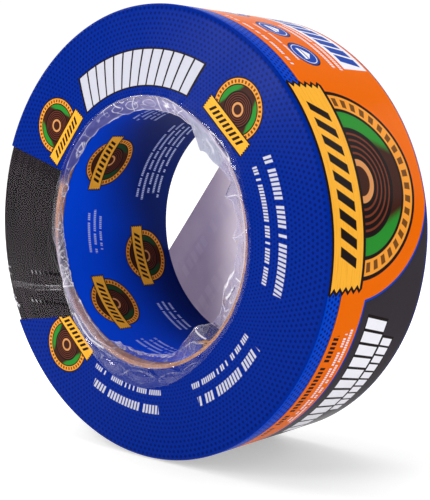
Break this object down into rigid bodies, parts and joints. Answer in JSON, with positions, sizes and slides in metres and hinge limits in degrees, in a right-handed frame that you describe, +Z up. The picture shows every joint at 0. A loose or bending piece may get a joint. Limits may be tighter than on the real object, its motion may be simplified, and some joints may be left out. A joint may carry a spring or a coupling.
{
  "type": "duct tape roll",
  "caption": "Wide roll of black duct tape on a paperboard core, in a printed clear-window shrink sleeve with a tear strip, and a rolled printed card in the core.",
  "frame": {"origin": "on the surface the roll stands on, under the middle of the roll", "axes": "+Z up, +Y along the roll's axis from the printed front face to the back, +X to the right seen from the front"},
  "size_m": [0.1324, 0.0484, 0.1324],
  "materials": {
    "paperboard": "bare kraft paperboard",
    "tape": "satin black edge of a wound strip",
    "printed_film": "gloss shrink film, printed blue, orange and grey",
    "clear_film": "clear gloss shrink film",
    "printed_card": "satin printed card",
    "card_back": "unprinted back of thin card"
  },
  "bodies": {
    "roll": {"core_inner_ply": "paperboard", "core_middle_ply": "paperboard", "core_outer_ply": "paperboard", "tape_strip": "tape", "sleeve_printed": "printed_film", "sleeve_window_upper": "clear_film", "sleeve_window_lower": "clear_film", "tear_strip": "clear_film", "front_skirt": "clear_film", "rear_skirt": "clear_film"},
    "insert": {"insert_card": "printed_card", "insert_flap": "card_back"},
    "tear_end": {"tear_strip_end": "clear_film"}
  },
  "joints": [
    {"name": "insert_slide", "type": "slide", "parent": "roll", "child": "insert", "axis": [0, 1, 0], "range_m": [0, 0.06]},
    {"name": "tear_strip_peel", "type": "hinge", "parent": "roll", "child": "tear_end", "pos_m": [-0.0602, -0.02407, 0.04705], "axis": [0, 0, -1], "range_deg": [0, 150]}
  ]
}
